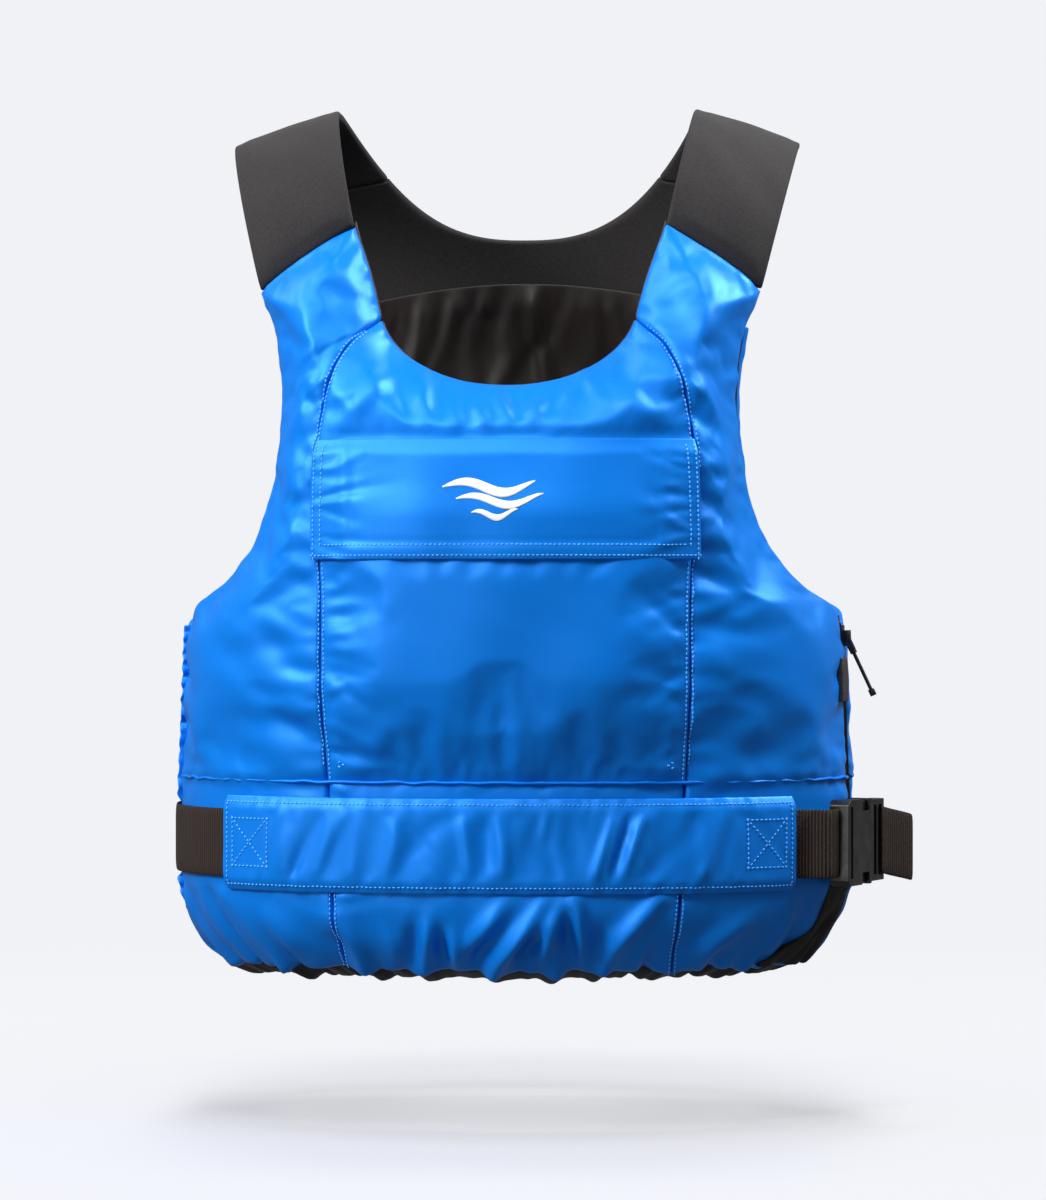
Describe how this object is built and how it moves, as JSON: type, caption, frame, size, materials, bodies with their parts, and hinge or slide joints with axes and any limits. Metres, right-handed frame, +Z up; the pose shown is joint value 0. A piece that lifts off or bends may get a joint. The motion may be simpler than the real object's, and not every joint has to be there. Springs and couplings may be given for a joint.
{
  "type": "buoyancy compensator vest",
  "caption": "Sleeveless padded buoyancy vest with neoprene shoulders, side zip, flapped front pocket and a buckled waist belt",
  "frame": {"origin": "Centre of the hem opening, on the vertical axis of the torso that the vest is worn on.", "axes": "+Z up towards the neck, -Y out of the chest, +X towards the wearer's left, where the zip and the buckle are."},
  "size_m": [0.4415, 0.3, 0.5129],
  "materials": {
    "shell_blue": "light ripstop nylon, soft sheen",
    "pocket_blue": "light ripstop nylon, soft sheen",
    "neoprene": "smooth skin neoprene, matt",
    "lining": "thin glossy woven lining",
    "foam": "closed-cell buoyancy foam",
    "webbing": "ribbed polyester webbing",
    "tape": "woven black tape",
    "plastic": "moulded acetal",
    "zip_teeth": "moulded zip teeth"
  },
  "bodies": {
    "vest": {"front_centre_shell": "shell_blue", "front_side_right_shell": "shell_blue", "front_side_left_shell": "shell_blue", "back_centre_shell": "shell_blue", "back_side_right_shell": "shell_blue", "back_side_left_shell": "shell_blue", "front_belt_tunnel": "shell_blue", "back_belt_tunnel": "shell_blue", "pocket_panel": "pocket_blue", "shoulder_strap_right": "neoprene", "shoulder_strap_left": "neoprene", "back_yoke": "neoprene", "front_centre_lining": "lining", "front_side_right_lining": "lining", "front_side_left_lining": "lining", "back_centre_lining": "lining", "back_side_right_lining": "lining", "back_side_left_lining": "lining", "front_centre_foam": "foam", "front_side_right_foam": "foam", "front_side_left_foam": "foam", "back_centre_foam": "foam", "back_side_right_foam": "foam", "back_side_left_foam": "foam", "belt_webbing_right": "webbing", "belt_webbing_left_front": "webbing", "belt_webbing_left_back": "webbing", "zip_side_tab": "webbing", "hem_binding": "tape", "zip_tape_front": "tape", "zip_tape_back": "tape", "pocket_loop_tape": "tape", "buckle_female": "plastic", "zip_teeth_front": "zip_teeth", "zip_teeth_back": "zip_teeth", "zip_bottom_box": "zip_teeth", "zip_top_stop": "zip_teeth"},
    "flap": {"pocket_flap": "shell_blue", "flap_hook_tape": "tape"},
    "zip_slider_body": {"zip_slider": "plastic"},
    "zip_puller_body": {"zip_puller": "plastic"},
    "buckle_male_body": {"buckle_male": "plastic", "belt_tail": "webbing"},
    "buckle_arm_upper_body": {"buckle_arm_upper": "plastic"},
    "buckle_arm_lower_body": {"buckle_arm_lower": "plastic"}
  },
  "joints": [
    {"name": "flap_lift", "type": "hinge", "parent": "vest", "child": "flap", "pos_m": [0, -0.15, 0.306], "axis": [1, 0, 0], "range_deg": [-115, 0]},
    {"name": "zip_slide", "type": "slide", "parent": "vest", "child": "zip_slider_body", "axis": [0.0409, -0.0017, -0.9992], "range_m": [0, 0.055]},
    {"name": "puller_swing", "type": "hinge", "parent": "zip_slider_body", "child": "zip_puller_body", "pos_m": [0.19749, -0.02458, 0.19419], "axis": [0.2063, 0.9785, 0.0067], "range_deg": [-100, 18]},
    {"name": "buckle_release", "type": "slide", "parent": "vest", "child": "buckle_male_body", "axis": [0.3907, 0.9205, 0], "range_m": [0, 0.034], "deforming": ["belt_webbing_left_back", "buckle_arm_upper", "buckle_arm_lower"]},
    {"name": "arm_press_upper", "type": "hinge", "parent": "buckle_male_body", "child": "buckle_arm_upper_body", "pos_m": [0.20585, -0.0461, 0.0952], "axis": [0.9205, -0.3907, 0], "range_deg": [0, 7], "stiffness_Nm_per_rad": 1},
    {"name": "arm_press_lower", "type": "hinge", "parent": "buckle_male_body", "child": "buckle_arm_lower_body", "pos_m": [0.20585, -0.0461, 0.0588], "axis": [0.9205, -0.3907, 0], "range_deg": [-7, 0], "stiffness_Nm_per_rad": 1}
  ]
}
